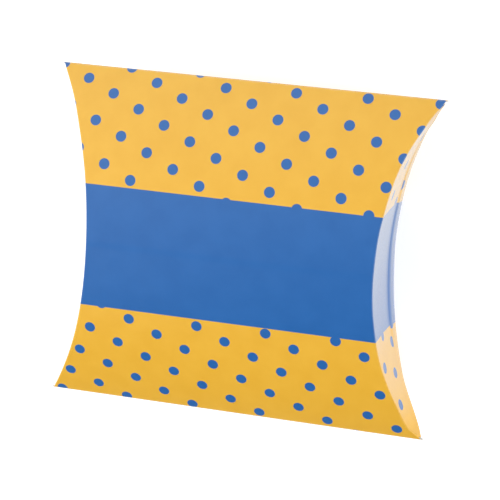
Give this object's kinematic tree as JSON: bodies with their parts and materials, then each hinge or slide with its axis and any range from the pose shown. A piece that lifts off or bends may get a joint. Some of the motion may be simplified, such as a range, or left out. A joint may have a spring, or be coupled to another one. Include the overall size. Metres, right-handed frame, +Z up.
{
  "type": "pillow box",
  "caption": "Pillow box of printed board: bowed front and back panels joined at straight folds, a glued seam, and nested end flaps on curved creases that swing open.",
  "frame": {"origin": "on the surface that the box lies on, under its middle: the crown of the back panel is at zero", "axes": "+X along the folds, +Y from the bottom fold to the top fold, +Z up, out of the front panel"},
  "size_m": [0.15, 0.131, 0.038],
  "materials": {
    "printed_board": "satin coated print",
    "plain_board": "matt uncoated",
    "glue": "dried film"
  },
  "bodies": {
    "box": {"front_panel": "printed_board", "back_panel": "printed_board", "top_fold": "printed_board", "bottom_fold": "printed_board", "seam_tab": "plain_board", "seam_glue": "glue"},
    "right_outer_flap": {"right_outer_flap": "printed_board"},
    "right_inner_flap": {"right_inner_flap": "printed_board"},
    "left_outer_flap": {"left_outer_flap": "printed_board"},
    "left_inner_flap": {"left_inner_flap": "printed_board"}
  },
  "joints": [
    {"name": "right_outer_flap_fold", "type": "hinge", "parent": "box", "child": "right_outer_flap", "pos_m": [0.0566, 0, 0.038], "axis": [0, -1, 0], "range_deg": [0, 90]},
    {"name": "right_inner_flap_fold", "type": "hinge", "parent": "box", "child": "right_inner_flap", "pos_m": [0.05595, 0, 0], "axis": [0, 1, 0], "range_deg": [0, 76.5]},
    {"name": "left_outer_flap_fold", "type": "hinge", "parent": "box", "child": "left_outer_flap", "pos_m": [-0.0566, 0, 0.038], "axis": [0, 1, 0], "range_deg": [0, 90]},
    {"name": "left_inner_flap_fold", "type": "hinge", "parent": "box", "child": "left_inner_flap", "pos_m": [-0.05595, 0, 0], "axis": [0, -1, 0], "range_deg": [0, 76.5]}
  ],
  "couplings": [
    {"joint": "right_inner_flap_fold", "follows": "right_outer_flap_fold", "ratio": 0.85},
    {"joint": "left_inner_flap_fold", "follows": "left_outer_flap_fold", "ratio": 0.85}
  ]
}
